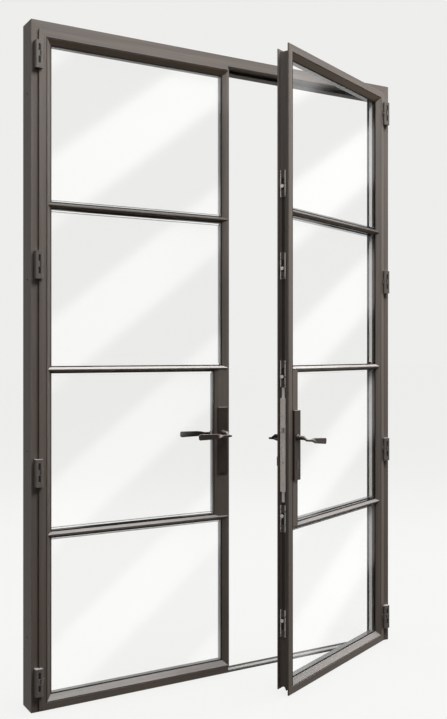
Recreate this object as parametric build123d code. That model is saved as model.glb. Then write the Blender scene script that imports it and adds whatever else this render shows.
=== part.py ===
from build123d import *
import os

os.makedirs("parts", exist_ok=True)

# A pair of glazed steel french doors in their frame, in millimetres.
# X runs to the right, Y away from the viewer and Z up.
# The origin is the middle of the frame's base.
# The left leaf is shut and the right leaf stands open, towards the viewer.

# Frame
frame_width = 1600.0
frame_height = 2400.0
frame_depth = 88.0
frame_wall = 2.5
jamb_face = 33.0
head_face = 38.0
stop_reach = 12.0
threshold_height = 5.0
threshold_depth = 50.0
threshold_nosing = 2.0
fixing_hole_radius = 4.1
fixing_outer_z = 250.0
fixing_inner_z = 900.0
seal_thickness = 2.6
seal_width = 8.0

# Leaf section: u runs in from the lip's outer edge, v back from the lip's front
leaf_overlap = 7.0
chamber = 13.0
lip_thickness = 5.0
lip_gap = 3.0
lip_face = 29.0
groove_width = 4.0
groove_depth = 3.0
leaf_depth = 55.0
web_thickness = 11.0
bevel_width = 17.5
bevel_depth = 15.5
bevel_edge = 2.0
rear_flange_reach = 10.0
rear_flange_thickness = 4.0
leaf_floor_gap = 3.0
open_angle = 24.0
meeting_line = -5.0
meeting_face = 12.0
meeting_gap = 1.5
astragal_reach = 12.0
astragal_thickness = 4.0
astragal_root = 6.0
astragal_end_gap = 5.0

# Glazing
glass_thickness = 32.0
glass_sheet = 5.0
spacer_width = 12.0
spacer_inset = 2.0
glass_edge_gap = 3.0
gasket_thickness = 2.0
gasket_showing = 4.0
rear_bead_width = 8.0
bar_count = 3
bar_core = 6.0
bar_width = 18.0
bar_nose = 3.0
bar_setback = 4.0

# Lock box, handles and the sizes that the lock shares
lock_box_face = 63.0
lock_box_wall = 3.0
lever_height = 935.0
backset = 30.0
cylinder_drop = 92.0
gear_line = 36.0
spindle_size = 8.0
spindle_hole_radius = 7.0
plate_width = 43.0
plate_height = 256.0
plate_thickness = 8.0
plate_above_axis = 100.0
plate_chamfer = 1.5
turning_gap = 0.5
neck_radius = 8.0
neck_knee = 27.0
neck_tip_radius = 3.5
spindle_reach = 25.0
collar_radius = 11.5
collar_length = 6.0
arm_offset = 44.0
arm_drop = 8.5
arm_length = 131.0
arm_shares = [-0.075, 0.0, 0.18, 0.26, 0.34, 0.42, 1.0]
arm_twist_shares = [1.0, 1.0, 1.0, 0.67, 0.33, 0.0, 0.0]
arm_widths = [10.0, 15.0, 16.0, 17.0, 18.5, 20.0, 23.0]
arm_thicknesses = [6.0, 8.0, 8.5, 8.5, 8.0, 8.0, 7.0]
arm_rounding = 2.0
arm_tip_radius = 7.0
right_lever_droop = 5.0

# Gear in the right leaf's meeting edge
gear_groove_width = 13.0
gear_groove_depth = 6.0
rod_width = 12.0
rod_gap = 0.5
rod_thickness = 5.0
gear_plate_thickness = 2.5
gear_plate_width = 23.0
faceplate_length = 342.0
faceplate_drop = 27.0
faceplate_screw_shares = [0.07, 0.195, 0.69, 0.93]
guide_length = 98.0
guide_window_width = 11.0
guide_window_margin = 6.0
guide_screw_inset = 9.0
plate_screw_radius = 2.6
cam_upper_shares = [0.6485, 0.4386, 0.1625]
cam_lower_shares = [0.3187, 0.7296]
cam_throw = 20.0
cam_pin_radius = 4.0
cam_head_radius = 6.2
cam_head_thickness = 3.0
cam_reach = 9.0
rod_end_margin = 30.0
upper_rod_rise = 55.0
lower_rod_drop = 120.0
lock_case_thickness = 15.0
lock_case_depth = 33.0
lock_case_rise = 51.0
lock_case_margin = 35.0
latch_rise = 28.0
latch_size = 18.0
latch_thickness = 10.0
latch_reach = 8.5
latch_tail = 20.0
latch_travel = 9.0
deadbolt_drop = 45.0
deadbolt_size = 24.0
deadbolt_thickness = 10.0
deadbolt_tail = 18.0
deadbolt_pocket = 5.0
bolt_gap = 0.5
cylinder_radius = 8.5
cylinder_web = 10.0
cylinder_height = 33.0
cylinder_proud = 1.0
key_slot_width = 2.0
key_slot_height = 8.0
key_slot_depth = 9.0
turn_shaft_radius = 3.0
turn_shaft_length = 12.0
turn_base_radius = 9.0
turn_base_depth = 4.0
turn_wing_height = 34.0
turn_wing_width = 6.0
turn_wing_depth = 13.0
running_gap = 0.05

# Keeps and shoot bolts on the left leaf's meeting edge
keep_lip_width = 4.0
keep_lip_height = 6.5
keep_lip_length = 24.0
strike_margin = 35.0
shoot_end_gap = 0.5
shoot_upper_rise = 75.0
shoot_lower_drop = 105.0
shoot_hole_gap = 1.0
shoot_hole_depth = 14.0

# Bottom sweep under each leaf
sweep_width = 12.0
sweep_tip_width = 3.0
sweep_floor_gap = 0.6
sweep_end_gap = 14.0

# Hinges
hinge_low = 106.0
hinge_high_drop = 123.0
hinge_shares = [0.0, 0.333, 0.665, 1.0]
hinge_length = 96.0
hinge_barrel_radius = 6.5
hinge_axis_inset = 5.5
hinge_axis_proud = 7.0
hinge_block_width = 22.5
hinge_block_rounding = 4.0
hinge_lip_gap = 1.5
hinge_leaf_knuckle = 16.0
hinge_knuckle_rise = 2.5
hinge_knuckle_gap = 0.4
hinge_pin_radius = 3.0
hinge_saddle_width = 17.0
hinge_saddle_thickness = 3.5
hinge_slot_width = 8.0
hinge_slot_height = 23.0
hinge_slot_depth = 10.0
hinge_slot_inset = 8.5
hinge_slot_rises = [24.0, -19.0]

# Allowance past a face for every cut
overrun = 5.0

# Worked out from the sizes above
half_width = frame_width / 2
frame_front = -frame_depth / 2
frame_back = frame_depth / 2
lip_overhang = leaf_overlap + chamber
leaf_front = frame_front - lip_gap - lip_thickness
leaf_back = leaf_front + leaf_depth
lip_top = frame_height - head_face + leaf_overlap
lip_bottom = leaf_floor_gap
lip_side = half_width - jamb_face + leaf_overlap
body_top = lip_top - lip_overhang
body_bottom = lip_bottom + lip_overhang
stop_front = leaf_back + lip_gap
web_inner = lip_overhang + web_thickness
bevel_end = lip_face + bevel_width
glass_front = bevel_depth + bevel_edge + gasket_thickness
glass_back = glass_front + glass_thickness
meeting_lip_left = meeting_line + lip_overhang
meeting_lip_right = meeting_line - leaf_overlap
plain_front = lip_thickness + lip_gap
axis_u = lip_overhang + backset
cylinder_z = lever_height - cylinder_drop
lock_case_top = lever_height + lock_case_rise
lock_case_foot = cylinder_z - lock_case_margin
latch_height = lever_height + latch_rise
deadbolt_height = lever_height - deadbolt_drop
faceplate_middle = lever_height - faceplate_drop
upper_rod_foot = lever_height + upper_rod_rise
lower_rod_top = lever_height - lower_rod_drop
strike_foot = deadbolt_height - strike_margin
strike_top = latch_height + strike_margin
shoot_upper_foot = lever_height + shoot_upper_rise
shoot_lower_top = lever_height - shoot_lower_drop
hinge_span = frame_height - hinge_high_drop - hinge_low
hinge_heights = [hinge_low + hinge_span * share for share in hinge_shares]
cam_heights = [lever_height + (lip_top - lever_height) * share for share in cam_upper_shares]
cam_heights += [lever_height - (lever_height - lip_bottom) * share for share in cam_lower_shares]
hinge_x = lip_side - hinge_axis_inset
hinge_y = leaf_front - hinge_axis_proud
sight_bottom = lip_bottom + lip_face
sight_top = lip_top - lip_face
bar_pitch = (sight_top - sight_bottom) / (bar_count + 1)
bar_heights = [sight_bottom + bar_pitch * (i + 1) for i in range(bar_count)]
lock_box_inner = lock_box_face + bevel_edge
lock_box_low = bar_heights[0] + bar_core / 2
lock_box_high = bar_heights[1] - bar_core / 2
gear_plate_v = gear_line - gear_plate_width / 2


def prism(points, direction, length):
    """A flat outline, given as points in space, drawn out along a direction."""
    face = make_face(Polyline(*points, close=True))
    return extrude(face, amount=length, dir=direction)


def prism_z(points, low, high):
    """An outline of (x, y) points drawn up from low to high."""
    return prism([(x, y, low) for x, y in points], (0, 0, 1), high - low)


def prism_x(points, low, high):
    """An outline of (y, z) points drawn along X from low to high."""
    return prism([(low, y, z) for y, z in points], (1, 0, 0), high - low)


def prism_y(points, low, high):
    """An outline of (x, z) points drawn along Y from low to high."""
    return prism([(x, low, z) for x, z in points], (0, 1, 0), high - low)


def block(x_pair, y_pair, z_pair):
    """A box between two values on each axis, in either order."""
    sizes = [abs(pair[1] - pair[0]) for pair in (x_pair, y_pair, z_pair)]
    middle = [(pair[0] + pair[1]) / 2 for pair in (x_pair, y_pair, z_pair)]
    return Pos(*middle) * Box(*sizes)


def drum_y(x, z, radius, y_pair):
    """A round bar along Y."""
    length = abs(y_pair[1] - y_pair[0])
    return Pos(x, sum(y_pair) / 2, z) * Rot(90, 0, 0) * Cylinder(radius, length)


def drum_x(y, z, radius, x_pair):
    """A round bar along X."""
    length = abs(x_pair[1] - x_pair[0])
    return Pos(sum(x_pair) / 2, y, z) * Rot(0, 90, 0) * Cylinder(radius, length)


def drum_z(x, y, radius, z_pair):
    """A round bar along Z."""
    length = abs(z_pair[1] - z_pair[0])
    return Pos(x, y, sum(z_pair) / 2) * Cylinder(radius, length)


class Leaf:
    """One leaf: turns section sizes (u, v) into places on the closed door."""

    def __init__(self, name, hand):
        self.name = name
        self.hand = hand
        self.hinge_lip = -hand * lip_side
        self.meeting_lip = meeting_lip_left if hand > 0 else meeting_lip_right
        self.hinge_axis = -hand * hinge_x

    def from_hinge(self, u):
        return self.hinge_lip + self.hand * u

    def from_meeting(self, u):
        return self.meeting_lip - self.hand * u

    def depth(self, v):
        return leaf_front + v

    def meeting_block(self, u_pair, v_pair, z_pair):
        x_pair = [self.from_meeting(u) for u in u_pair]
        y_pair = [self.depth(v) for v in v_pair]
        return block(x_pair, y_pair, z_pair)

    @property
    def plate_front(self):
        return self.depth(plain_front if self.hand > 0 else 0)


left = Leaf("left", 1)
right = Leaf("right", -1)


# Leaf members

def lip_section():
    """The rolled section with its front lip, bevelled sight edge and rear flange."""
    flange_start = lip_overhang - rear_flange_reach
    flange_front = leaf_depth - rear_flange_thickness
    return [
        (0, 0),
        (lip_face - groove_width, 0),
        (lip_face - groove_width, groove_depth),
        (lip_face, groove_depth),
        (lip_face, 0),
        (bevel_end, bevel_depth),
        (bevel_end, bevel_depth + bevel_edge),
        (web_inner, bevel_depth + bevel_edge),
        (web_inner, leaf_depth),
        (flange_start, leaf_depth),
        (flange_start, flange_front),
        (lip_overhang, flange_front),
        (lip_overhang, lip_thickness),
        (0, lip_thickness),
    ]


def plain_section():
    """The left leaf's meeting stile: no lip, and a strip behind that the other leaf shuts against."""
    astragal_front = leaf_depth + lip_gap
    face_end = lip_overhang + meeting_face
    return [
        (lip_overhang, plain_front),
        (face_end, plain_front),
        (bevel_end, bevel_depth),
        (bevel_end, bevel_depth + bevel_edge),
        (web_inner, bevel_depth + bevel_edge),
        (web_inner, leaf_depth),
        (lip_overhang + astragal_root, leaf_depth),
        (lip_overhang + astragal_root, astragal_front + astragal_thickness),
        (lip_overhang - astragal_reach, astragal_front + astragal_thickness),
        (lip_overhang - astragal_reach, astragal_front),
        (lip_overhang, astragal_front),
    ]


def stile(leaf, section, place):
    """An upright of the leaf, mitred at both ends."""
    points = [(place(u), leaf.depth(v)) for u, v in section]
    bar = prism_z(points, lip_bottom, lip_top)
    mitre = [
        (place(0), lip_bottom),
        (place(0), lip_top),
        (place(bevel_end), lip_top - bevel_end),
        (place(bevel_end), lip_bottom + bevel_end),
    ]
    back = leaf_back + lip_gap + astragal_thickness
    rear = prism_y(mitre, leaf_front, leaf_back)
    astragal_low = body_bottom + astragal_end_gap
    astragal_high = body_top - astragal_end_gap
    reach = (place(-overrun), place(bevel_end))
    strip = block(reach, (leaf_back, back), (astragal_low, astragal_high))
    return bar & (rear + strip)


def rail(leaf, level):
    """A level member of the leaf, mitred at both ends; level turns u into height."""
    section = [(leaf.depth(v), level(u)) for u, v in lip_section()]
    ends = sorted((leaf.hinge_lip, leaf.meeting_lip))
    bar = prism_x(section, ends[0], ends[1])
    mitre = [
        (leaf.from_hinge(0), level(0)),
        (leaf.from_meeting(0), level(0)),
        (leaf.from_meeting(bevel_end), level(bevel_end)),
        (leaf.from_hinge(bevel_end), level(bevel_end)),
    ]
    return bar & prism_y(mitre, leaf_front, leaf_back)


def from_top(u):
    return lip_top - u


def from_bottom(u):
    return lip_bottom + u


def glazing_bar(leaf, height):
    """A glazing bar: a narrow core behind and a front tapering to a nose."""
    half = bar_width / 2
    taper_back = bevel_depth + bevel_edge
    outline = [
        (leaf.depth(bar_setback), height - bar_nose / 2),
        (leaf.depth(bar_setback), height + bar_nose / 2),
        (leaf.depth(bevel_depth), height + half),
        (leaf.depth(taper_back), height + half),
        (leaf.depth(taper_back), height + bar_core / 2),
        (leaf.depth(leaf_depth), height + bar_core / 2),
        (leaf.depth(leaf_depth), height - bar_core / 2),
        (leaf.depth(taper_back), height - bar_core / 2),
        (leaf.depth(taper_back), height - half),
        (leaf.depth(bevel_depth), height - half),
    ]
    ends = sorted((leaf.from_hinge(lip_face), leaf.from_meeting(lip_face)))
    return prism_x(outline, ends[0], ends[1])


def lock_box(leaf, face_start, front):
    """The folded box that widens the meeting stile for the lock."""
    bevel_outer = lock_box_face + bevel_width
    taper_back = bevel_depth + bevel_edge
    inner_wall = lock_box_inner - lock_box_wall
    rear_wall = leaf_depth - lock_box_wall
    outline = [
        (face_start, front),
        (lock_box_face, front),
        (bevel_outer, bevel_depth),
        (bevel_outer, taper_back),
        (lock_box_inner, taper_back),
        (lock_box_inner, leaf_depth),
        (web_inner, leaf_depth),
        (web_inner, rear_wall),
        (inner_wall, rear_wall),
        (inner_wall, front + lock_box_wall),
        (face_start, front + lock_box_wall),
    ]
    points = [(leaf.from_meeting(u), leaf.depth(v)) for u, v in outline]
    return prism_z(points, lock_box_low, lock_box_high)


def cylinder_outline(leaf, gap):
    """The key cylinder's keyhole shape, drawn right through, with a gap all round."""
    x = leaf.from_meeting(axis_u)
    span = (leaf.depth(-plate_thickness - cylinder_proud), leaf.depth(leaf_depth + plate_thickness))
    half = cylinder_web / 2 + gap
    foot = cylinder_z + cylinder_radius - cylinder_height - gap
    web = block((x - half, x + half), span, (foot, cylinder_z))
    return drum_y(x, cylinder_z, cylinder_radius + gap, span) + web


def pane_frames(leaf):
    """Each pane's rebate: its hinge, meeting, low and high faces, and how far the bevels reach."""
    edges = [from_bottom(web_inner)]
    reaches = [bevel_end - web_inner]
    for height in bar_heights:
        edges += [height - bar_core / 2, height + bar_core / 2]
        reaches += [(bar_width - bar_core) / 2] * 2
    edges.append(from_top(web_inner))
    reaches.append(bevel_end - web_inner)
    frames = []
    for i in range(bar_count + 1):
        meeting_u = lock_box_inner if i == 1 else web_inner
        side_reach = bevel_end - web_inner
        frames.append({
            "hinge": leaf.from_hinge(web_inner),
            "meeting": leaf.from_meeting(meeting_u),
            "low": edges[2 * i],
            "high": edges[2 * i + 1],
            "side_reach": side_reach,
            "low_reach": reaches[2 * i],
            "high_reach": reaches[2 * i + 1],
        })
    return frames


def pane_block(leaf, frame, inset, low_inset, high_inset, v_pair):
    """A slab that fills a pane's rebate, set in from its four sides."""
    x_pair = (frame["hinge"] + leaf.hand * inset, frame["meeting"] - leaf.hand * inset)
    y_pair = [leaf.depth(v) for v in v_pair]
    return block(x_pair, y_pair, (frame["low"] + low_inset, frame["high"] - high_inset))


def glass_unit(leaf, frame):
    """A double-glazed unit: two sheets held apart by a spacer round the edge."""
    gap = glass_edge_gap
    spacer_v = (glass_front + glass_sheet, glass_back - glass_sheet)
    front = pane_block(leaf, frame, gap, gap, gap, (glass_front, spacer_v[0]))
    back = pane_block(leaf, frame, gap, gap, gap, (spacer_v[1], glass_back))
    outer = gap + spacer_inset
    inner = outer + spacer_width
    hole_v = (spacer_v[0] - overrun, spacer_v[1] + overrun)
    spacer = pane_block(leaf, frame, outer, outer, outer, spacer_v)
    spacer -= pane_block(leaf, frame, inner, inner, inner, hole_v)
    return group([front, back, spacer])


def facing_y(x, y, z):
    """A drawing plane that faces along Y."""
    return Plane((x, y, z), x_dir=(1, 0, 0), z_dir=(0, 1, 0))


def lever_neck(x, start, knee, middle):
    """A lever's round neck: straight over the spindle, then dipping to the arm."""
    neck = drum_y(x, lever_height, neck_radius, (start, knee))
    knee_ring = facing_y(x, knee, lever_height) * Circle(neck_radius)
    arm_ring = facing_y(x, middle, lever_height - arm_drop) * Circle(neck_tip_radius)
    return neck + loft([knee_ring, arm_ring], ruled=True)


def lever_arm(x, towards, middle, outward):
    """A flat arm, level at the neck and twisted a quarter turn to stand upright at its rounded tip."""
    z = lever_height - arm_drop
    sections = []
    for share, twist, width, thickness in zip(arm_shares, arm_twist_shares, arm_widths, arm_thicknesses):
        place = Plane((x + towards * arm_length * share, middle, z), x_dir=(0, 1, 0), z_dir=(1, 0, 0))
        turned = place.location * Rot(0, 0, outward * 90 * twist)
        sections.append(turned * RectangleRounded(thickness, width, arm_rounding))
    if towards < 0:
        sections.reverse()
    arm = loft(sections, ruled=True)
    blank = facing_y(x, middle, z) * RectangleRounded(arm_length * 2, arm_widths[-1], arm_tip_radius)
    return arm & extrude(blank, amount=arm_offset, both=True)


def lever(leaf, base, outward):
    """A handle: collar, neck and arm, with the arm pointing to the hinge side."""
    x = leaf.from_meeting(axis_u)
    start = base + outward * turning_gap
    collar = drum_y(x, lever_height, collar_radius, (start, start + outward * collar_length))
    collar_edge = collar.edges().group_by(Axis.Y)[-1 if outward > 0 else 0]
    collar = fillet(collar_edge, arm_rounding)
    middle = base + outward * arm_offset
    neck = lever_neck(x, start, base + outward * neck_knee, middle)
    return neck + collar + lever_arm(x, -leaf.hand, middle, outward)


def backplate(leaf, base, outward, with_cylinder):
    """A handle's backplate, holed for the spindle and, on the right leaf, for the cylinder."""
    x = leaf.from_meeting(axis_u)
    high = lever_height + plate_above_axis
    front = base + outward * plate_thickness
    plate = block((x - plate_width / 2, x + plate_width / 2), (base, front), (high - plate_height, high))
    outer_face = plate.faces().sort_by(Axis.Y)[-1 if outward > 0 else 0]
    plate = chamfer(outer_face.edges(), plate_chamfer)
    through = (base - outward * overrun, front + outward * overrun)
    plate -= drum_y(x, lever_height, spindle_hole_radius, through)
    if with_cylinder:
        plate -= cylinder_outline(leaf, bolt_gap)
    return plate


def square_bar_y(x, z, size, y_pair):
    return block((x - size / 2, x + size / 2), y_pair, (z - size / 2, z + size / 2))


def gear_plate(leaf, low, high):
    """A thin plate let on to the meeting edge."""
    u_pair = (lip_overhang - gear_plate_thickness, lip_overhang)
    v_pair = (gear_plate_v, gear_plate_v + gear_plate_width)
    return leaf.meeting_block(u_pair, v_pair, (low, high))


def edge_slot(leaf, u_pair, width, low, high):
    """A slot along the gear line of the meeting edge."""
    v_pair = (gear_line - width / 2, gear_line + width / 2)
    return leaf.meeting_block(u_pair, v_pair, (low, high))


def plate_screw_hole(leaf, height):
    """A screw hole through a plate on the meeting edge."""
    hole_x = (leaf.from_meeting(0), leaf.from_meeting(lip_overhang + overrun))
    return drum_x(leaf.depth(gear_line), height, plate_screw_radius, hole_x)


def cam_way(index):
    """Which way a cam moves to lock: up for the upper rod, down for the lower."""
    return 1 if cam_heights[index] > lever_height else -1


def group(pieces):
    """Several loose solids kept as one sub-part."""
    return Compound([solid for piece in pieces for solid in piece.solids()])


def leaf_parts(leaf):
    """The members, glazing, sweep and handles that both leaves have."""
    parts = {}
    is_left = leaf.hand > 0
    front = plain_front if is_left else 0
    face_start = lip_overhang + meeting_face if is_left else lip_face
    hinge_stile = stile(leaf, lip_section(), leaf.from_hinge)
    meeting_section = plain_section() if is_left else lip_section()
    meeting_stile = stile(leaf, meeting_section, leaf.from_meeting)
    top_rail = rail(leaf, from_top)
    bottom_rail = rail(leaf, from_bottom)
    if is_left:
        past_edge = (meeting_line, meeting_line + frame_width)
        through = (leaf_front - overrun, frame_back)
        tall = (0, frame_height)
        past_lip = (meeting_lip_right - meeting_gap, meeting_lip_right + frame_width)
        lip_depth = (leaf_front - overrun, leaf_front + lip_thickness)
        trim = block(past_edge, through, tall) + block(past_lip, lip_depth, tall)
        top_rail -= trim
        bottom_rail -= trim
    box = lock_box(leaf, face_start, front)
    taper_back = bevel_depth + bevel_edge
    box_u = (face_start, bevel_end + overrun)
    bars = [glazing_bar(leaf, height) - hinge_stile - meeting_stile for height in bar_heights]
    meeting_stile -= leaf.meeting_block(box_u, (-overrun, taper_back), (lock_box_low, lock_box_high))
    for bar in bars:
        box -= bar
    parts["hinge_stile"] = hinge_stile
    parts["meeting_stile"] = meeting_stile
    parts["top_rail"] = top_rail
    parts["bottom_rail"] = bottom_rail
    parts["glazing_bars"] = group(bars)
    gaskets = []
    beads = []
    for number, frame in enumerate(pane_frames(leaf), start=1):
        parts[f"pane_{number}"] = glass_unit(leaf, frame)
        gasket_v = (taper_back, glass_front)
        show = gasket_showing
        hole_v = (taper_back - overrun, glass_front + overrun)
        ring = pane_block(leaf, frame, 0, 0, 0, gasket_v)
        side = frame["side_reach"] + show
        ring -= pane_block(leaf, frame, side, frame["low_reach"] + show, frame["high_reach"] + show, hole_v)
        gaskets.append(ring)
        bead_v = (glass_back, leaf_depth)
        hole_v = (glass_back - overrun, leaf_depth + overrun)
        width = rear_bead_width
        bead = pane_block(leaf, frame, 0, 0, 0, bead_v)
        bead -= pane_block(leaf, frame, width, width, width, hole_v)
        beads.append(bead)
    parts["glazing_gaskets"] = group(gaskets)
    parts["rear_beads"] = group(beads)
    sweep_front = leaf.depth(gear_line - sweep_width / 2)
    sweep_back = leaf.depth(gear_line + sweep_width / 2)
    sweep_tip = threshold_height + sweep_floor_gap
    sweep_outline = [
        (sweep_front, body_bottom),
        (sweep_back, body_bottom),
        (sweep_front + sweep_tip_width, sweep_tip),
        (sweep_front, sweep_tip),
    ]
    sweep_u = lip_overhang + sweep_end_gap
    sweep_ends = sorted((leaf.from_hinge(sweep_u), leaf.from_meeting(sweep_u)))
    parts["bottom_sweep"] = prism_x(sweep_outline, sweep_ends[0], sweep_ends[1])
    x = leaf.from_meeting(axis_u)
    plate_front = leaf.plate_front
    plate_rear = leaf.depth(leaf_depth)
    box -= drum_y(x, lever_height, spindle_hole_radius, (plate_front - overrun, plate_rear + overrun))
    if not is_left:
        box -= cylinder_outline(leaf, bolt_gap)
    parts["lock_box"] = box
    parts["front_backplate"] = backplate(leaf, plate_front, -1, not is_left)
    parts["rear_backplate"] = backplate(leaf, plate_rear, 1, not is_left)
    lever_front = plate_front - plate_thickness
    lever_rear = plate_rear + plate_thickness
    spindle_span = (lever_front - spindle_reach, lever_rear + spindle_reach)
    spindle = square_bar_y(x, lever_height, spindle_size, spindle_span)
    axis = Pos(x, 0, lever_height)
    rest = axis * Rot(0, 0 if is_left else right_lever_droop, 0) * axis.inverse()
    parts["front_lever"] = rest * (lever(leaf, lever_front, -1) - spindle)
    parts["rear_lever"] = rest * (lever(leaf, lever_rear, 1) - spindle)
    parts["spindle"] = rest * spindle
    return parts


# Right leaf's lock and its drive gear

def right_gear(parts):
    """The lock case, bolts, cylinder, rods, cams and plates in the right leaf's meeting edge."""
    leaf = right
    x = leaf.from_meeting(axis_u)
    edge = lip_overhang
    groove_floor = edge + gear_groove_depth
    groove_low = cam_heights[-1] - guide_length / 2
    groove_high = cam_heights[0] + guide_length / 2
    groove_u = (edge - overrun, groove_floor)
    parts["meeting_stile"] -= edge_slot(leaf, groove_u, gear_groove_width, groove_low, groove_high)
    case_start = groove_floor + rod_gap
    case_end = case_start + lock_case_depth
    case_hole = lock_case_thickness + bolt_gap * 2
    hole_span = (lock_case_foot - bolt_gap, lock_case_top + bolt_gap)
    parts["meeting_stile"] -= edge_slot(leaf, (edge - overrun, web_inner + overrun), case_hole, *hole_span)
    case = edge_slot(leaf, (case_start, case_end), lock_case_thickness, lock_case_foot, lock_case_top)
    plate_low = faceplate_middle - faceplate_length / 2
    faceplate = gear_plate(leaf, plate_low, plate_low + faceplate_length)
    screw_heights = [plate_low + faceplate_length * (1 - share) for share in faceplate_screw_shares]
    for height in screw_heights:
        faceplate -= plate_screw_hole(leaf, height)
    bolts = {
        "latch_bolt": (latch_height, latch_size, latch_thickness, -latch_reach, latch_tail, latch_travel),
        "deadbolt": (deadbolt_height, deadbolt_size, deadbolt_thickness, bolt_gap, deadbolt_tail, bolt_gap),
    }
    plate_face = edge - gear_plate_thickness
    for name, (height, size, thickness, reach, tail, back) in bolts.items():
        low = height - size / 2
        high = height + size / 2
        tip = plate_face + reach
        end = case_start + tail
        bolt = edge_slot(leaf, (tip, end), thickness, low, high)
        hole_low = low - bolt_gap
        hole_high = high + bolt_gap
        hole = edge_slot(leaf, (0, end + back + bolt_gap), thickness + bolt_gap * 2, hole_low, hole_high)
        case -= hole
        faceplate -= hole
        if name == "latch_bolt":
            front = leaf.depth(gear_line - thickness / 2)
            back_face = leaf.depth(gear_line + thickness / 2)
            slope = [
                (leaf.from_meeting(tip - overrun), back_face + overrun),
                (leaf.from_meeting(tip), front + bolt_gap * 2),
                (leaf.from_meeting(plate_face), back_face),
                (leaf.from_meeting(plate_face), back_face + overrun),
            ]
            bolt -= prism_z(slope, low - overrun, high + overrun)
        parts[name] = bolt
    case -= drum_y(x, lever_height, spindle_hole_radius, (leaf.depth(0), leaf.depth(leaf_depth)))
    case -= cylinder_outline(leaf, bolt_gap)
    parts["lock_case"] = case
    parts["lock_faceplate"] = faceplate
    cylinder = cylinder_outline(leaf, 0)
    cylinder_front = leaf.depth(-plate_thickness - cylinder_proud)
    cylinder_back = leaf.depth(leaf_depth + plate_thickness)
    key_x = (x - key_slot_width / 2, x + key_slot_width / 2)
    key_z = (cylinder_z - key_slot_height / 2, cylinder_z + key_slot_height / 2)
    cylinder -= block(key_x, (cylinder_front - overrun, cylinder_front + key_slot_depth), key_z)
    shaft_hole = turn_shaft_length + overrun
    hole_span = (cylinder_back - shaft_hole, cylinder_back + overrun)
    cylinder -= drum_y(x, cylinder_z, turn_shaft_radius + running_gap, hole_span)
    parts["key_cylinder"] = cylinder
    base_start = cylinder_back + turning_gap
    base_end = base_start + turn_base_depth
    turn = drum_y(x, cylinder_z, turn_base_radius, (base_start, base_end))
    turn += drum_y(x, cylinder_z, turn_shaft_radius, (cylinder_back - turn_shaft_length, base_end))
    wing_x = (x - turn_wing_width / 2, x + turn_wing_width / 2)
    wing_z = (cylinder_z - turn_wing_height / 2, cylinder_z + turn_wing_height / 2)
    turn += block(wing_x, (base_end - turning_gap, base_end + turn_wing_depth), wing_z)
    parts["turn_piece"] = turn
    guides = []
    cams = {1: [], -1: []}
    for index, height in enumerate(cam_heights):
        way = cam_way(index)
        rest = height - way * cam_throw / 2
        guide = gear_plate(leaf, height - guide_length / 2, height + guide_length / 2)
        window_half = cam_throw / 2 + cam_head_radius + guide_window_margin
        window = (height - window_half, height + window_half)
        guide -= edge_slot(leaf, (0, edge + overrun), guide_window_width, *window)
        screw_rise = guide_length / 2 - guide_screw_inset
        for screw_height in (height - screw_rise, height + screw_rise):
            guide -= plate_screw_hole(leaf, screw_height)
        guides.append(guide)
        pin_outer = edge - cam_reach + cam_head_thickness / 2
        y = leaf.depth(gear_line)
        pin_x = (leaf.from_meeting(pin_outer), leaf.from_meeting(edge + rod_thickness))
        cam = drum_x(y, rest, cam_pin_radius, pin_x)
        head_u = (edge - cam_reach, edge - cam_reach + cam_head_thickness)
        head_x = [leaf.from_meeting(u) for u in head_u]
        cam += drum_x(y, rest, cam_head_radius, head_x)
        cams[way].append(cam)
    parts["cam_guides"] = group(guides)
    rod_u = (edge + rod_gap, edge + rod_gap + rod_thickness)
    upper_end = cam_heights[0] - cam_throw / 2 + rod_end_margin
    lower_end = cam_heights[-1] + cam_throw / 2 - rod_end_margin
    upper = edge_slot(leaf, rod_u, rod_width, upper_rod_foot, upper_end)
    lower = edge_slot(leaf, rod_u, rod_width, lower_end, lower_rod_top)
    for cam in cams[1]:
        upper += cam
    for cam in cams[-1]:
        lower += cam
    parts["upper_drive_rod"] = upper
    parts["lower_drive_rod"] = lower


# Left leaf's keeps and shoot bolts

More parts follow.
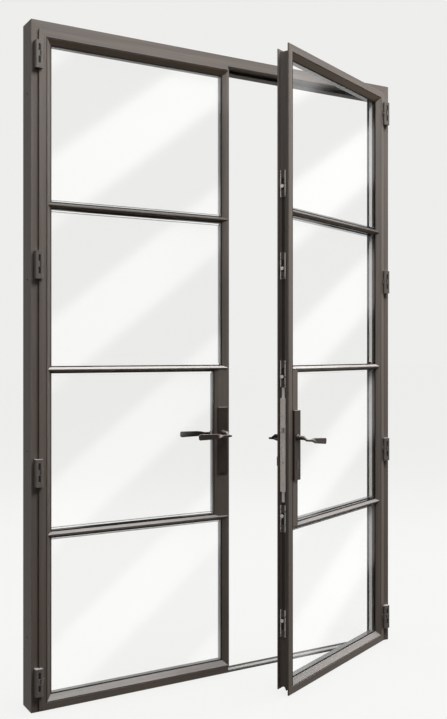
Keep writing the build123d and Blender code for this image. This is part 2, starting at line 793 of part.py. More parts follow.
def left_gear(parts):
    """Keeps and strike plate on the left leaf's meeting edge, and the shoot bolts in its groove."""
    leaf = left
    edge = lip_overhang
    groove_floor = edge + gear_groove_depth
    upper_low = shoot_upper_foot - rod_gap
    lower_high = shoot_lower_top + rod_gap
    groove = edge_slot(leaf, (edge - overrun, groove_floor), gear_groove_width, upper_low, frame_height)
    groove += edge_slot(leaf, (edge - overrun, groove_floor), gear_groove_width, 0, lower_high)
    pocket_low = deadbolt_height - deadbolt_size / 2 - bolt_gap * 2
    pocket_high = deadbolt_height + deadbolt_size / 2 + bolt_gap * 2
    pocket_width = deadbolt_thickness + bolt_gap * 4
    pocket_u = (edge - overrun, edge + deadbolt_pocket)
    pocket = edge_slot(leaf, pocket_u, pocket_width, pocket_low, pocket_high)
    for name in ("meeting_stile", "top_rail", "bottom_rail"):
        parts[name] -= groove
    parts["meeting_stile"] -= pocket
    rod_u = (edge + rod_gap, edge + rod_gap + rod_thickness)
    upper_end = body_top - shoot_end_gap
    lower_end = body_bottom + shoot_end_gap
    parts["upper_shoot_bolt"] = edge_slot(leaf, rod_u, rod_width, shoot_upper_foot, upper_end)
    parts["lower_shoot_bolt"] = edge_slot(leaf, rod_u, rod_width, lower_end, shoot_lower_top)
    keeps = []
    lip_u = (edge - gear_plate_thickness - keep_lip_height, edge)
    lip_v = (gear_plate_v, gear_plate_v + keep_lip_width)
    for index, height in enumerate(cam_heights):
        keep = gear_plate(leaf, height - guide_length / 2, height + guide_length / 2)
        lip_z = sorted((height, height + cam_way(index) * keep_lip_length))
        keep += leaf.meeting_block(lip_u, lip_v, lip_z)
        keeps.append(keep)
    strike = gear_plate(leaf, strike_foot, strike_top)
    strike -= pocket
    latch_half = latch_size / 2 + bolt_gap * 4
    latch_width = latch_thickness + bolt_gap * 4
    latch_span = (latch_height - latch_half, latch_height + latch_half)
    strike -= edge_slot(leaf, (0, edge + overrun), latch_width, *latch_span)
    parts["cam_keeps"] = group(keeps)
    parts["strike_plate"] = strike


# Hinges

def hinge_parts(leaf):
    """Frame halves, leaf halves and pins of one leaf's hinges, with the leaf shut."""
    hand = leaf.hand
    x = leaf.hinge_axis
    y = hinge_y
    r = hinge_barrel_radius
    frame_halves = []
    leaf_halves = []
    pins = []
    for height in hinge_heights:
        low = height - hinge_length / 2
        high = height + hinge_length / 2
        outer = x - hand * hinge_block_width
        lip_clear = x - hand * (hinge_axis_inset + hinge_lip_gap)
        half = block((outer, x), (y - r, y + r), (low, high))
        outer_edge = half.edges().filter_by(Axis.Z).sort_by_distance((outer, y - r, height))[0]
        half = fillet(outer_edge, hinge_block_rounding)
        half += drum_z(x, y, r, (low, high))
        half += block((outer, lip_clear), (y, frame_front), (low, high))
        knuckle = hinge_leaf_knuckle / 2
        gap = knuckle + hinge_knuckle_gap
        clear = x - hand * (r + hinge_knuckle_gap)
        cut_y = (y - r - overrun, frame_front + overrun)
        knuckle_middle = height + hinge_knuckle_rise
        cut_z = (knuckle_middle - gap, knuckle_middle + gap)
        half -= block((clear, x + hand * hinge_block_width), cut_y, cut_z)
        half -= drum_z(x, y, hinge_pin_radius, (low - overrun, high + overrun))
        slot_x = x - hand * hinge_slot_inset
        slot_pair = (slot_x - hinge_slot_width / 2, slot_x + hinge_slot_width / 2)
        slot_y = (y - r - overrun, y - r + hinge_slot_depth)
        for rise in hinge_slot_rises:
            middle = height + rise
            slot_z = (middle - hinge_slot_height / 2, middle + hinge_slot_height / 2)
            half -= block(slot_pair, slot_y, slot_z)
        frame_halves.append(half)
        knuckle_z = (knuckle_middle - knuckle, knuckle_middle + knuckle)
        saddle_start = x - hand * (hinge_axis_inset - hinge_knuckle_gap)
        saddle_end = saddle_start + hand * hinge_saddle_width
        saddle_y = (leaf_front - hinge_saddle_thickness, leaf_front)
        wing = drum_z(x, y, r, knuckle_z)
        wing += block((saddle_start, saddle_end), saddle_y, knuckle_z)
        wing -= drum_z(x, y, hinge_pin_radius + running_gap, (low, high))
        leaf_halves.append(wing)
        pins.append(drum_z(x, y, hinge_pin_radius, (low, high)))
    return group(frame_halves), group(leaf_halves), group(pins)


# Frame

def frame_parts():
    """Hollow jambs and head, mitred, with the threshold and the rebate seal."""
    parts = {}
    inner = half_width - jamb_face
    stop_inner = inner - stop_reach
    soffit = frame_height - head_face
    stop_low = soffit - stop_reach
    w = frame_wall
    jamb_outline = [
        (-half_width, frame_front),
        (-inner, frame_front),
        (-inner, stop_front),
        (-stop_inner, stop_front),
        (-stop_inner, frame_back),
        (-half_width, frame_back),
    ]
    jamb_hollow = [
        (-half_width + w, frame_front + w),
        (-inner - w, frame_front + w),
        (-inner - w, stop_front + w),
        (-stop_inner - w, stop_front + w),
        (-stop_inner - w, frame_back - w),
        (-half_width + w, frame_back - w),
    ]
    head_outline = [
        (frame_front, soffit),
        (frame_front, frame_height),
        (frame_back, frame_height),
        (frame_back, stop_low),
        (stop_front, stop_low),
        (stop_front, soffit),
    ]
    head_hollow = [
        (frame_front + w, soffit + w),
        (frame_front + w, frame_height - w),
        (frame_back - w, frame_height - w),
        (frame_back - w, stop_low + w),
        (stop_front + w, stop_low + w),
        (stop_front + w, soffit + w),
    ]
    jamb = prism_z(jamb_outline, 0, frame_height)
    jamb -= prism_z(jamb_hollow, -overrun, frame_height + overrun)
    head = prism_x(head_outline, -half_width, half_width)
    head -= prism_x(head_hollow, -half_width - overrun, half_width + overrun)
    slope = head_face / jamb_face
    reach = jamb_face + stop_reach + overrun
    corner = [
        (-half_width - overrun, frame_height + overrun * slope),
        (-half_width + reach, frame_height - reach * slope),
        (-half_width + reach, frame_height + overrun * slope),
    ]
    corner_cut = prism_y(corner, frame_front - overrun, frame_back + overrun)
    below = [
        (-half_width - overrun, frame_height + overrun * slope),
        (-half_width + reach, frame_height - reach * slope),
        (-half_width - overrun, frame_height - reach * slope),
    ]
    below_cut = prism_y(below, frame_front - overrun, frame_back + overrun)
    jamb -= corner_cut
    head -= below_cut
    head -= mirror(below_cut, Plane.YZ)
    for rise in (fixing_outer_z, fixing_inner_z):
        for height in (rise, frame_height - rise):
            jamb -= drum_x(0, height, fixing_hole_radius, (-half_width - overrun, -inner + overrun))
    slot_end = lip_overhang + gear_groove_depth + shoot_hole_gap
    slot_x = (left.from_meeting(lip_overhang - shoot_hole_gap), left.from_meeting(slot_end))
    slot_half = rod_width / 2 + shoot_hole_gap
    slot_y = (left.depth(gear_line - slot_half), left.depth(gear_line + slot_half))
    head -= block(slot_x, slot_y, (soffit - overrun, soffit + shoot_hole_depth))
    sill_back = frame_front + threshold_depth
    sill_outline = [
        (frame_front, 0),
        (frame_front, threshold_height - threshold_nosing),
        (frame_front + threshold_nosing, threshold_height),
        (sill_back, threshold_height),
        (sill_back, 0),
    ]
    sill = prism_x(sill_outline, -inner, inner)
    sill -= block(slot_x, slot_y, (-overrun, threshold_height + overrun))
    seal_y = (stop_front - seal_thickness, stop_front)
    edge = (stop_reach - seal_width) / 2
    seal_out = inner - edge
    seal_in = seal_out - seal_width
    seal_top = soffit - edge
    seal = block((-seal_out, seal_out), seal_y, (threshold_height, seal_top))
    seal_hole_y = (seal_y[0] - overrun, seal_y[1] + overrun)
    seal -= block((-seal_in, seal_in), seal_hole_y, (-overrun, seal_top - seal_width))
    parts["left_jamb"] = jamb
    parts["right_jamb"] = mirror(jamb, Plane.YZ)
    parts["head"] = head
    parts["threshold"] = sill
    parts["frame_seal"] = seal
    return parts


def swing_open(piece):
    """Turn a piece of the right leaf about its hinges to where the photo shows it."""
    hinge = Pos(right.hinge_axis, hinge_y, 0)
    return hinge * Rot(0, 0, open_angle) * hinge.inverse() * piece


pieces = frame_parts()
left_parts = leaf_parts(left)
right_parts = leaf_parts(right)
left_gear(left_parts)
right_gear(right_parts)
for door, parts in ((left, left_parts), (right, right_parts)):
    frame_halves, leaf_halves, pins = hinge_parts(door)
    pieces[f"{door.name}_hinge_frame_halves"] = frame_halves
    pieces[f"{door.name}_hinge_pins"] = pins
    parts["hinge_leaf_halves"] = leaf_halves
    for name, piece in parts.items():
        node = f"{door.name}_{name}"
        pieces[node] = piece if door is left else swing_open(piece)

for name, piece in pieces.items():
    export_step(piece, os.path.join("parts", f"{name}.step"))
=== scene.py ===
import math
from collections import namedtuple

import bmesh
import bpy
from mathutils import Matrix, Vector


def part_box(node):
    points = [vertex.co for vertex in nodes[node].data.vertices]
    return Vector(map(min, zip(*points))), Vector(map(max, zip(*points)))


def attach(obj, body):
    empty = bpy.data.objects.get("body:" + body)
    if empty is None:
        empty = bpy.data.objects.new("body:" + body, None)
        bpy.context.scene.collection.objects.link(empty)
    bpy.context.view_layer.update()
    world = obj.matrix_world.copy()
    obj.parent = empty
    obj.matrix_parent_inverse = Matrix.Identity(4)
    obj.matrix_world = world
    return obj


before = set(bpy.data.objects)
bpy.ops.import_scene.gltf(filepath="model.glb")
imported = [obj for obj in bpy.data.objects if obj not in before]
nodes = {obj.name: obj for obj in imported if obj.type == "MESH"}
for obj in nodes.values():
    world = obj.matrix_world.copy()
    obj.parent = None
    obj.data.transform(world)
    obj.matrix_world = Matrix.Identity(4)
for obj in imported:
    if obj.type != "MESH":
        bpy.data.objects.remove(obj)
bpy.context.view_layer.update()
scene = bpy.context.scene
scene.view_settings.view_transform = "Standard"

FRAME_HEIGHT = 2.4

# The axes that a material follows, by their turn and the point they start from. The right leaf stands
# open about its hinge line, so its materials have axes of their own, in which the leaf is shut.
Axes = namedtuple("Axes", "turn start")
OPEN_ANGLE = math.radians(24.0)
HINGE_LINE = (0.7685, -0.059, 0.0)
FRAME_AXES = Axes(0.0, (0.0, 0.0, 0.0))
RIGHT_LEAF_AXES = Axes(OPEN_ANGLE, HINGE_LINE)

# Depths of the glass units' spacers, and how far out the cam heads start, with the leaf shut
SPACER_FRONT = -0.0273
SPACER_BACK = -0.0057
CAM_HEAD_EDGE = 0.006

# Height of the lock faceplate's middle, and how far above and below it the drive rods are painted bright
# as lit
FACEPLATE_MIDDLE = 0.908
BRIGHT_ROD_REACH = 0.21

# Hinges, by share of the way from the lowest to the highest, and the two slots in each one's block
HINGE_SHARES = (0.0, 0.333, 0.665, 1.0)
HINGE_LENGTH = 0.096
SLOT_RISES = (0.024, -0.019)
SLOT_FROM_OUTSIDE = 0.014
SLOT_WIDTH = 0.0079
SLOT_HEIGHT = 0.0229
SLOT_DEPTH = 0.0099
PLUG_RECESS = 0.0015
PLUG_BEVEL = 0.0008

BLACK = (0.0, 0.0, 0.0)
WHITE = (1.0, 1.0, 1.0)


# Node helpers

def grey(level):
    return (level, level, level)


def new_material(name):
    material = bpy.data.materials.new(name)
    material.use_nodes = True
    tree = material.node_tree
    tree.nodes.clear()
    return material, tree


def add(tree, kind, **values):
    node = tree.nodes.new(kind)
    for key, value in values.items():
        setattr(node, key, value)
    return node


def set_inputs(node, values):
    for key, value in values.items():
        node.inputs[key].default_value = value


def to_surface(tree, shader, kind="ShaderNodeOutputMaterial"):
    out = add(tree, kind)
    tree.links.new(shader.outputs[0], out.inputs["Surface"])


def ramp(tree, source, stops):
    node = add(tree, "ShaderNodeValToRGB")
    elements = node.color_ramp.elements
    while len(elements) < len(stops):
        elements.new(0.5)
    for element, (place, colour) in zip(elements, stops):
        element.position = place
        element.color = (*colour, 1.0)
    tree.links.new(source, node.inputs["Fac"])
    return node.outputs["Color"]


def mix_colour(tree, blend, factor, first, second):
    node = add(tree, "ShaderNodeMix", data_type="RGBA", blend_type=blend)
    if isinstance(factor, float):
        node.inputs[0].default_value = factor
    else:
        tree.links.new(factor, node.inputs[0])
    for socket, value in ((node.inputs[6], first), (node.inputs[7], second)):
        if isinstance(value, tuple):
            socket.default_value = (*value, 1.0)
        else:
            tree.links.new(value, socket)
    return node.outputs[2]


def math_node(tree, operation, *values):
    node = add(tree, "ShaderNodeMath", operation=operation)
    for socket, value in zip(node.inputs, values):
        if isinstance(value, (int, float)):
            socket.default_value = value
        else:
            tree.links.new(value, socket)
    return node.outputs[0]


def map_range(tree, value, start, end, low=0.0, high=1.0, interpolation="LINEAR"):
    node = add(tree, "ShaderNodeMapRange", interpolation_type=interpolation)
    set_inputs(node, {"From Min": start, "From Max": end, "To Min": low, "To Max": high})
    tree.links.new(value, node.inputs["Value"])
    return node.outputs["Result"]


def own_axes(tree, axes):
    """Object coordinates in the frame's axes or in a leaf's own."""
    coords = add(tree, "ShaderNodeTexCoord")
    centred = add(tree, "ShaderNodeVectorMath", operation="SUBTRACT")
    centred.inputs[1].default_value = axes.start
    tree.links.new(coords.outputs["Object"], centred.inputs[0])
    turned = add(tree, "ShaderNodeMapping")
    turned.inputs["Rotation"].default_value = (0.0, 0.0, -axes.turn)
    tree.links.new(centred.outputs[0], turned.inputs["Vector"])
    return turned.outputs["Vector"]


def split_axes(tree, vector):
    node = add(tree, "ShaderNodeSeparateXYZ")
    tree.links.new(vector, node.inputs[0])
    return node.outputs


def slope_of(tree):
    """1 on faces that look straight up, -1 on those that look straight down."""
    geometry = add(tree, "ShaderNodeNewGeometry")
    return split_axes(tree, geometry.outputs["Normal"])["Z"]


def scaled(tree, colour, factor):
    node = add(tree, "ShaderNodeVectorMath", operation="SCALE")
    tree.links.new(colour, node.inputs[0])
    tree.links.new(factor, node.inputs["Scale"])
    return node.outputs[0]


def noise(tree, vector, scale, detail, roughness):
    """Noise stretched by a scale for each axis."""
    stretch = add(tree, "ShaderNodeMapping")
    stretch.inputs["Scale"].default_value = scale
    tree.links.new(vector, stretch.inputs["Vector"])
    node = add(tree, "ShaderNodeTexNoise")
    set_inputs(node, {"Scale": 1.0, "Detail": detail, "Roughness": roughness})
    tree.links.new(stretch.outputs["Vector"], node.inputs["Vector"])
    return node.outputs["Fac"]


# Slopes over which a face turns to look down or up, the tint of the painted shade on faces that look
# down and the saturation of the painted light on those that look up
DOWN_SLOPES = (-0.7, -0.3)
UP_SLOPES = (0.3, 0.7)
UNDERSIDE_SHADE_TINT = (1.15, 1.0, 0.78)
LEDGE_LIGHT_SATURATION = 0.35


def painted_light_by_slope(tree, colour, painted_ledge_tone, underside_shade):
    """Painted light and shade by slope: greyer, and paler or darker, on faces that look up; darker and
    browner, as painted shade, on those that look down.
    """
    slope = slope_of(tree)
    brown = tuple(underside_shade * share for share in UNDERSIDE_SHADE_TINT)
    under = ramp(tree, map_range(tree, slope, *DOWN_SLOPES), [(0.0, brown), (1.0, WHITE)])
    facing_up = map_range(tree, slope, *UP_SLOPES)
    gain = math_node(tree, "MULTIPLY", facing_up, math_node(tree, "SUBTRACT", painted_ledge_tone, 1.0))
    ledge = math_node(tree, "ADD", gain, 1.0)
    greyer = add(tree, "ShaderNodeHueSaturation")
    saturation = map_range(tree, slope, *UP_SLOPES, 1.0, LEDGE_LIGHT_SATURATION)
    tree.links.new(saturation, greyer.inputs["Saturation"])
    tree.links.new(colour, greyer.inputs["Color"])
    return mix_colour(tree, "MULTIPLY", 1.0, scaled(tree, greyer.outputs["Color"], ledge), under)


def finish_surface(tree, colour, grain, metallic, specular, rough, relief, ledge_gloss=None):
    """The shader of a metal or rubber: colour, with uneven gloss and fine relief from one grain.

    rough is the least and the most roughness, relief the strength and the height of the bump.
    """
    shader = add(tree, "ShaderNodeBsdfPrincipled")
    tree.links.new(colour, shader.inputs["Base Color"])
    set_inputs(shader, {"Metallic": metallic, "Specular IOR Level": specular})
    roughness = map_range(tree, grain, 0.0, 1.0, *rough)
    if ledge_gloss:
        on_ledges = map_range(tree, slope_of(tree), *UP_SLOPES, 1.0, ledge_gloss)
        roughness = math_node(tree, "MULTIPLY", roughness, on_ledges)
    tree.links.new(roughness, shader.inputs["Roughness"])
    bump = add(tree, "ShaderNodeBump")
    set_inputs(bump, {"Strength": relief[0], "Distance": relief[1]})
    tree.links.new(grain, bump.inputs["Height"])
    tree.links.new(bump.outputs["Normal"], shader.inputs["Normal"])
    to_surface(tree, shader)


# Materials

# Bronze from foot to head of the door, by share of its height, darker towards the foot as painted shade
BRONZE = [
    (0.0, (0.118, 0.097, 0.083)),
    (0.5, (0.13, 0.111, 0.098)),
    (1.0, (0.14, 0.123, 0.112)),
]
# Worn ledges are glossier than the door's faces. Faces that look up also get painted light: by share of
# the door's height, the low ones are painted paler and the high ones painted darker, as painted shade
PAINTED_LEDGE_TONES = [(0.0, 2.2), (0.3, 2.0), (0.5, 3.2), (0.69, 0.7)]
LEDGE_GLOSS = 0.4
# Noise scales along a member and across it, and for clouds that have no direction
STREAK_SCALES = (1.2, 60.0)
FINE_SCALES = (5.0, 380.0)
CLOUD_SCALE = 4.0
# How far each noise darkens or lightens the bronze
STREAK_TONES = [(0.3, (0.84, 0.83, 0.82)), (0.5, WHITE), (0.72, (1.17, 1.16, 1.15))]
FINE_TONES = [(0.3, grey(0.95)), (0.7, grey(1.05))]
CLOUD_TONES = [(0.35, (1.04, 1.0, 0.96)), (0.65, (0.98, 1.0, 1.02))]
X_AXIS, Z_AXIS = 0, 2
# How far the speckle of hardware and rubber darkens and lightens it, and the spread of its gloss
SPECK_DARK = 0.8
SPECK_LIGHT = 1.18
GLOSS_SPREAD = 0.07


def scales_for(member_axis, scales):
    along, across = scales
    return [along if axis == member_axis else across for axis in range(3)]


def streaked_metal(name, member_axis, axes):
    """Dark bronze that streaks along a member."""
    material, tree = new_material(name)
    vector = own_axes(tree, axes)
    streak = noise(tree, vector, scales_for(member_axis, STREAK_SCALES), detail=5.0, roughness=0.6)
    fine = noise(tree, vector, scales_for(member_axis, FINE_SCALES), detail=3.0, roughness=0.6)
    cloud = noise(tree, vector, grey(CLOUD_SCALE), detail=4.0, roughness=0.55)
    share = math_node(tree, "DIVIDE", split_axes(tree, vector)["Z"], FRAME_HEIGHT)
    colour = ramp(tree, share, BRONZE)
    for source, tones in ((streak, STREAK_TONES), (fine, FINE_TONES), (cloud, CLOUD_TONES)):
        colour = mix_colour(tree, "MULTIPLY", 1.0, colour, ramp(tree, source, tones))
    # Painted light and shade on faces that look up, by height
    painted_ledge_tone = ramp(tree, share, [(place, grey(tone)) for place, tone in PAINTED_LEDGE_TONES])
    colour = painted_light_by_slope(tree, colour, painted_ledge_tone, underside_shade=0.58)
    finish_surface(tree, colour, fine, metallic=0.0, specular=0.07, rough=(0.38, 0.52),
                   relief=(0.05, 0.0008), ledge_gloss=LEDGE_GLOSS)
    return material


def speckled(tree, vector, speck, colour):
    """A fine grain, and the colour that it darkens and lightens."""
    grain = noise(tree, vector, grey(speck), detail=5.0, roughness=0.6)
    dark = tuple(c * SPECK_DARK for c in colour)
    light = tuple(min(1.0, c * SPECK_LIGHT) for c in colour)
    return grain, ramp(tree, grain, [(0.3, dark), (0.5, colour), (0.75, light)])


def plain_metal(name, colour, metallic, roughness, speck, specular=0.4, painted_ledge_tone=1.0):
    """Plated or painted hardware with fine speckle and uneven gloss."""
    material, tree = new_material(name)
    grain, tone = speckled(tree, own_axes(tree, FRAME_AXES), speck, colour)
    # Painted light on faces that look up and painted shade on those that look down
    tone = painted_light_by_slope(tree, tone, painted_ledge_tone, underside_shade=0.6)
    rough = (roughness - GLOSS_SPREAD, roughness + GLOSS_SPREAD)
    finish_surface(tree, tone, grain, metallic, specular, rough, relief=(0.05, 0.0005))
    return material


def rod_metal(name):
    """Drive rods painted near black as shade, and painted bright as lit beside the lock and at the cam
    heads, which stand out past the plates.
    """
    material, tree = new_material(name)
    vector = own_axes(tree, RIGHT_LEAF_AXES)
    grain, dark = speckled(tree, vector, 240.0, (0.012, 0.011, 0.01))
    bright = ramp(tree, grain, [(0.3, (0.7, 0.67, 0.63)), (0.7, (0.92, 0.9, 0.87))])
    place = split_axes(tree, vector)
    head = math_node(tree, "LESS_THAN", place["X"], CAM_HEAD_EDGE - HINGE_LINE[0])
    from_lock = math_node(tree, "ABSOLUTE", math_node(tree, "SUBTRACT", place["Z"], FACEPLATE_MIDDLE))
    by_lock = math_node(tree, "LESS_THAN", from_lock, BRIGHT_ROD_REACH)
    # Painted light beside the lock and on the cam heads, painted shade elsewhere
    colour = mix_colour(tree, "MIX", math_node(tree, "MAXIMUM", head, by_lock), dark, bright)
    finish_surface(tree, colour, grain, metallic=0.1, specular=0.2, rough=(0.32, 0.44),
                   relief=(0.04, 0.0004))
    return material


def edged_metal(name, low, high):
    """Dark guide plates on the right leaf's edge, with painted highlights in spots along both long
    sides.
    """
    material, tree = new_material(name)
    vector = own_axes(tree, RIGHT_LEAF_AXES)
    grain, dark = speckled(tree, vector, 300.0, (0.06, 0.05, 0.044))
    bright = (0.8, 0.75, 0.71)
    hinge_y = HINGE_LINE[1]
    across = map_range(tree, split_axes(tree, vector)["Y"], low - hinge_y, high - hinge_y)
    # Painted highlights in spots along the plates' long rims
    rim = ramp(tree, across, [(0.14, WHITE), (0.18, BLACK), (0.82, BLACK), (0.86, WHITE)])
    spots = noise(tree, vector, (60.0, 60.0, 130.0), detail=2.0, roughness=0.5)
    rim_highlight = math_node(tree, "MULTIPLY", rim, map_range(tree, spots, 0.3, 0.45))
    colour = mix_colour(tree, "MIX", rim_highlight, dark, bright)
    finish_surface(tree, colour, grain, metallic=0.1, specular=0.3, rough=(0.35, 0.49),
                   relief=(0.05, 0.0005))
    return material


def sill_metal(name, low, high):
    """Threshold strip: black front edge, pale top and a dark line along the back."""
    material, tree = new_material(name)
    vector = own_axes(tree, FRAME_AXES)
    grain = noise(tree, vector, (4.0, 260.0, 260.0), detail=5.0, roughness=0.6)
    across = map_range(tree, split_axes(tree, vector)["Y"], low, high)
    dark, pale = (0.02, 0.018, 0.016), (0.34, 0.325, 0.305)
    bands = ramp(tree, across, [(0.2, dark), (0.24, pale), (0.6, pale), (0.64, dark)])
    tone = ramp(tree, grain, [(0.3, grey(0.85)), (0.7, grey(1.1))])
    colour = mix_colour(tree, "MULTIPLY", 1.0, bands, tone)
    finish_surface(tree, colour, grain, metallic=0.1, specular=0.3, rough=(0.38, 0.5),
                   relief=(0.05, 0.0005))
    return material


def rubber(name, colour):
    material, tree = new_material(name)
    grain, tone = speckled(tree, own_axes(tree, FRAME_AXES), 240.0, colour)
    finish_surface(tree, tone, grain, metallic=0.0, specular=0.15, rough=(0.58, 0.7),
                   relief=(0.1, 0.0004))
    return material


# Painted bands of reflected sheen on the glass: their slope, their spacing and the height of the lowest
# at x = 0
LEFT_BANDS = (0.78, 0.5743, 0.647)
RIGHT_BANDS = (0.54, 0.545, 0.494)
# Where a band begins and ends to brighten, on a wave from -1 to 1
BAND_EDGES = (-0.45, 0.55)
# How brightly the painted sheen glows on the bands
BAND_GLOW = 0.7
# Colour and opacity of a sheet, between the bands and on them, which paint the sheen
SHEET_TONES = [(0.0, (0.3, 0.31, 0.31)), (1.0, WHITE)]
SHEET_OPACITY = [(0.0, grey(0.011)), (1.0, grey(0.03))]
SHEET_ROUGHNESS = 0.04
# Spacers, by share of their depth: brown in front and pale behind, but dark grey on level faces as
# painted shade
SPACER_TONES = [(0.3, (0.07, 0.055, 0.045)), (0.45, (0.9, 0.9, 0.89))]
LEVEL_SPACER_SHADE = (0.1, 0.1, 0.098)


def glass(name, axes, bands):
    """Clear sheets with soft diagonal bands of painted, glowing sheen, and the spacer between them."""
    material, tree = new_material(name)
    slope, spacing, lowest = bands
    place = split_axes(tree, own_axes(tree, axes))
    rise = math_node(tree, "SUBTRACT", place["Z"], math_node(tree, "MULTIPLY", place["X"], slope))
    phase = math_node(tree, "MULTIPLY", math_node(tree, "SUBTRACT", rise, lowest), math.tau / spacing)
    wave = math_node(tree, "COSINE", phase)
    band = map_range(tree, wave, *BAND_EDGES, interpolation="SMOOTHSTEP")
    sheen = ramp(tree, band, SHEET_TONES)
    opacity = ramp(tree, band, SHEET_OPACITY)

    front, back = SPACER_FRONT - axes.start[1], SPACER_BACK - axes.start[1]
    after_front = math_node(tree, "GREATER_THAN", place["Y"], front)
    before_back = math_node(tree, "LESS_THAN", place["Y"], back)
    spacer = math_node(tree, "MULTIPLY", after_front, before_back)
    upright_tone = ramp(tree, map_range(tree, place["Y"], front, back), SPACER_TONES)
    # Painted shade on the spacers' level faces
    level = math_node(tree, "ABSOLUTE", slope_of(tree))
    spacer_tone = mix_colour(tree, "MIX", level, upright_tone, LEVEL_SPACER_SHADE)

    shader = add(tree, "ShaderNodeBsdfPrincipled")
    set_inputs(shader, {"Roughness": SHEET_ROUGHNESS, "Emission Color": (*WHITE, 1.0)})
    colour = mix_colour(tree, "MIX", spacer, sheen, spacer_tone)
    tree.links.new(colour, shader.inputs["Base Color"])
    tree.links.new(math_node(tree, "MAXIMUM", opacity, spacer), shader.inputs["Alpha"])
    clear_band = math_node(tree, "MULTIPLY", band, math_node(tree, "SUBTRACT", 1.0, spacer))
    glow = math_node(tree, "MULTIPLY", clear_band, BAND_GLOW)
    tree.links.new(glow, shader.inputs["Emission Strength"])
    material.cycles.emission_sampling = "NONE"
    to_surface(tree, shader)
    return material


sill_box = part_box("threshold")
# The keeps on the left leaf, which is shut, have the depth of the guide plates that face them
keeps_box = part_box("left_cam_keeps")

metal_up = streaked_metal("bronze_upright", Z_AXIS, FRAME_AXES)
metal_level = streaked_metal("bronze_level", X_AXIS, FRAME_AXES)
metal_up_right = streaked_metal("bronze_upright_right", Z_AXIS, RIGHT_LEAF_AXES)
metal_level_right = streaked_metal("bronze_level_right", X_AXIS, RIGHT_LEAF_AXES)
# Faces of the levers and hinges that look up get painted light from their ledge tone
handle_metal = plain_metal("handle_bronze", (0.04, 0.03, 0.024), metallic=0.1, roughness=0.34,
                           speck=160.0, specular=0.15, painted_ledge_tone=5.0)
# The far levers have the handles' bronze, painted darker as painted shade
shaded_far_handle_metal = plain_metal("far_handle_shaded_bronze", (0.014, 0.011, 0.0095), metallic=0.1, roughness=0.34,
                               speck=160.0, specular=0.08)
hinge_metal = plain_metal("hinge_bronze", (0.118, 0.104, 0.093), metallic=0.05, roughness=0.42,
                          speck=220.0, specular=0.15, painted_ledge_tone=3.2)
gear_metal = plain_metal("gear_plate", (0.74, 0.66, 0.61), metallic=0.1, roughness=0.42, speck=300.0)
guide_metal = edged_metal("guide_plate", keeps_box[0][1], keeps_box[1][1])
keep_metal = plain_metal("keep_zinc", (0.3, 0.28, 0.265), metallic=0.3, roughness=0.42, speck=300.0)
bolt_metal = plain_metal("bolt_zinc", (0.5, 0.49, 0.47), metallic=0.5, roughness=0.3, speck=260.0)
cylinder_metal = plain_metal("cylinder_bronze", (0.06, 0.05, 0.042), metallic=0.4, roughness=0.34,
                             speck=260.0)
drive_metal = rod_metal("drive_rods")
sill_finish = sill_metal("sill_strip", sill_box[0][1], sill_box[1][1])
seal_black = rubber("seal_black", (0.012, 0.011, 0.01))
sweep_grey = rubber("sweep_grey", (0.3, 0.29, 0.28))
left_glass = glass("left_glass", FRAME_AXES, LEFT_BANDS)
right_glass = glass("right_glass", RIGHT_LEAF_AXES, RIGHT_BANDS)

# The first of these that is in a node's name gives its finish
FINISHES = [
    ("gasket", seal_black),
    ("frame_seal", seal_black),
    ("sweep", sweep_grey),
    ("rear_lever", shaded_far_handle_metal),
    ("lever", handle_metal),
    ("backplate", handle_metal),
    ("turn_piece", handle_metal),
    ("faceplate", gear_metal),
    ("guides", guide_metal),
    ("keeps", keep_metal),
    ("strike", keep_metal),
    ("bolt", bolt_metal),
    ("drive_rod", drive_metal),
    ("lock_case", keep_metal),
    ("cylinder", cylinder_metal),
    ("spindle", keep_metal),
    ("hinge_pins", keep_metal),
    ("hinge_frame", hinge_metal),
    ("hinge_leaf", hinge_metal),
    ("threshold", sill_finish),
]
LEVEL_MEMBERS = ("rail", "bars", "head", "beads")


def finish_for(name):
    on_right_leaf = name.startswith("right_") and name != "right_jamb"
    if "_pane_" in name:
        return right_glass if on_right_leaf else left_glass
    for key, material in FINISHES:
        if key in name:
            return material
    if any(key in name for key in LEVEL_MEMBERS):
        return metal_level_right if on_right_leaf else metal_level
    return metal_up_right if on_right_leaf else metal_up


for name, obj in nodes.items():
    material = finish_for(name)
    if obj.material_slots:
        for slot in obj.material_slots:
            slot.material = material
    else:
        obj.data.materials.append(material)


# Black plugs in the slots of the hinges, put in as painted shade in their depth

def slot_shade_plugs(side):
    low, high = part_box(f"{side}_hinge_frame_halves")
    first = low[2] + HINGE_LENGTH / 2
    span = high[2] - low[2] - HINGE_LENGTH
    across = low[0] + SLOT_FROM_OUTSIDE if side == "left" else high[0] - SLOT_FROM_OUTSIDE
    depth = SLOT_DEPTH - PLUG_RECESS
    middle_y = low[1] + PLUG_RECESS + depth / 2
    shape = bmesh.new()
    for share in HINGE_SHARES:
        for rise in SLOT_RISES:
            made = bmesh.ops.create_cube(shape, size=1.0)["verts"]
            bmesh.ops.scale(shape, vec=(SLOT_WIDTH, depth, SLOT_HEIGHT), verts=made)
            place = (across, middle_y, first + span * share + rise)
            bmesh.ops.translate(shape, vec=place, verts=made)
    front = [e for e in shape.edges if all(v.co.y < middle_y for v in e.verts)]
    bmesh.ops.bevel(shape, geom=front, offset=PLUG_BEVEL, segments=2, affect="EDGES")
    mesh = bpy.data.meshes.new(f"{side}_hinge_shade_plugs")
    shape.to_mesh(mesh)
    shape.free()
    piece = bpy.data.objects.new(f"{side}_hinge_shade_plugs", mesh)
    bpy.context.collection.objects.link(piece)
    mesh.materials.append(seal_black)
    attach(piece, "frame")


for side in ("left", "right"):
    slot_shade_plugs(side)


# Studio

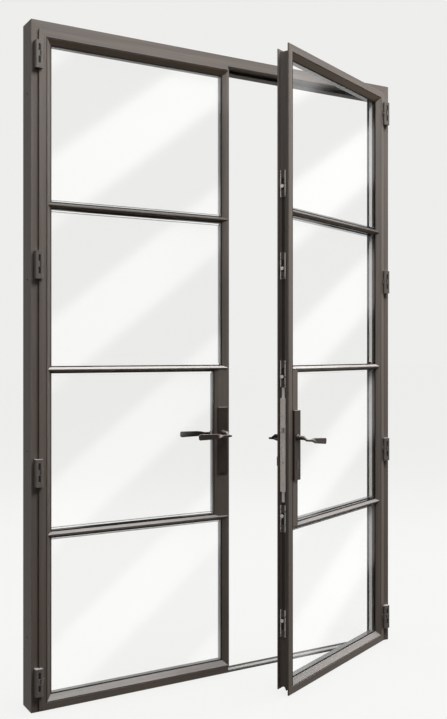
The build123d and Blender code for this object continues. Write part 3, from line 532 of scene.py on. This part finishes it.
BACKDROP_COLOUR = (1.0, 1.0, 0.985, 1.0)
BACKDROP_STRENGTH = 0.855
FLOOR_GLOW = 0.845
FLOOR_HALF = 60.0
FLOOR_DROP = 0.002
FLOOR_TONES = [(0.3, (0.039, 0.039, 0.038)), (0.7, (0.041, 0.041, 0.04))]
FLOOR_CLOUD_SCALE = 3.0
SOFT_COLOUR = (0.95, 0.97, 1.0, 1.0)
SOFT_STRENGTH = 0.14

# Each lamp's place, target, width, height and power, and whether gloss and glass mirror it
LAMPS = {
    "overhead": ((0.6, -0.3, 6.5), (0.6, -0.2, 0.0), 5.0, 2.0, 500.0, True),
    "key": ((0.7, -2.4, 4.2), (0.0, 0.0, 2.0), 2.5, 1.5, 152.0, True),
    "fill": ((-4.5, -2.0, 2.2), (0.0, -0.2, 1.2), 3.0, 3.0, 20.0, True),
    "side": ((5.0, -0.15, 1.3), (0.1, -0.3, 1.2), 0.8, 2.5, 130.0, False),
    "back": ((0.6, 3.8, 3.4), (0.0, 0.0, 1.4), 3.0, 2.0, 120.0, False),
}

# The photo's camera, fitted to the frame's straight edges; it looks level
CAMERA_PLACE = (-1.8131, -3.0807, 1.2471)
CAMERA_LOOK = (0.5064, 0.8623, 0.0)
CAMERA_LENS = 45.398
CAMERA_SHIFT = -0.01
SENSOR_HEIGHT = 36.0


def seen_directly(tree):
    """1 for rays that show the background: to the camera, through glass or off a glossy surface."""
    paths = add(tree, "ShaderNodeLightPath").outputs
    seen = math_node(tree, "MAXIMUM", paths["Is Camera Ray"], paths["Is Transmission Ray"])
    return math_node(tree, "MAXIMUM", seen, paths["Is Glossy Ray"])


def plain_floor():
    mesh = bpy.data.meshes.new("floor")
    low, high = -FLOOR_HALF, FLOOR_HALF
    corners = [(low, low, 0), (high, low, 0), (high, high, 0), (low, high, 0)]
    mesh.from_pydata(corners, [], [(0, 1, 2, 3)])
    obj = bpy.data.objects.new("floor", mesh)
    bpy.context.collection.objects.link(obj)
    obj.location.z = -FLOOR_DROP
    material, tree = new_material("floor_pale")
    cloud = noise(tree, own_axes(tree, FRAME_AXES), grey(FLOOR_CLOUD_SCALE), detail=2.0, roughness=0.5)
    matte = add(tree, "ShaderNodeBsdfDiffuse")
    tree.links.new(ramp(tree, cloud, FLOOR_TONES), matte.inputs["Color"])
    glow = add(tree, "ShaderNodeEmission")
    glow.inputs["Color"].default_value = BACKDROP_COLOUR
    strength = math_node(tree, "MULTIPLY", seen_directly(tree), FLOOR_GLOW)
    tree.links.new(strength, glow.inputs["Strength"])
    both = add(tree, "ShaderNodeAddShader")
    tree.links.new(matte.outputs[0], both.inputs[0])
    tree.links.new(glow.outputs[0], both.inputs[1])
    to_surface(tree, both)
    mesh.materials.append(material)


def turned_to(direction):
    """The turn that points a lamp or the camera along a direction."""
    return Vector(direction).to_track_quat("-Z", "Y").to_euler()


def area_light(name, place, target, width, height, power, mirrored):
    data = bpy.data.lights.new(name, "AREA")
    data.shape = "RECTANGLE"
    data.size = width
    data.size_y = height
    data.energy = power
    obj = bpy.data.objects.new(name, data)
    bpy.context.collection.objects.link(obj)
    obj.location = place
    obj.rotation_euler = turned_to(Vector(target) - Vector(place))
    obj.visible_glossy = mirrored


def studio_world():
    world = bpy.data.worlds.new("studio")
    scene.world = world
    world.use_nodes = True
    tree = world.node_tree
    tree.nodes.clear()
    soft = add(tree, "ShaderNodeBackground")
    set_inputs(soft, {"Color": SOFT_COLOUR, "Strength": SOFT_STRENGTH})
    backdrop = add(tree, "ShaderNodeBackground")
    set_inputs(backdrop, {"Color": BACKDROP_COLOUR, "Strength": BACKDROP_STRENGTH})
    blend = add(tree, "ShaderNodeMixShader")
    tree.links.new(seen_directly(tree), blend.inputs["Fac"])
    tree.links.new(soft.outputs[0], blend.inputs[1])
    tree.links.new(backdrop.outputs[0], blend.inputs[2])
    to_surface(tree, blend, "ShaderNodeOutputWorld")


def photo_camera():
    data = bpy.data.cameras.new("camera")
    camera = bpy.data.objects.new("camera", data)
    bpy.context.collection.objects.link(camera)
    camera.location = CAMERA_PLACE
    camera.rotation_euler = turned_to(CAMERA_LOOK)
    data.sensor_fit = "VERTICAL"
    data.sensor_height = SENSOR_HEIGHT
    data.lens = CAMERA_LENS
    data.shift_y = CAMERA_SHIFT
    scene.camera = camera


plain_floor()
for name, lamp in LAMPS.items():
    area_light(name, *lamp)
studio_world()
photo_camera()
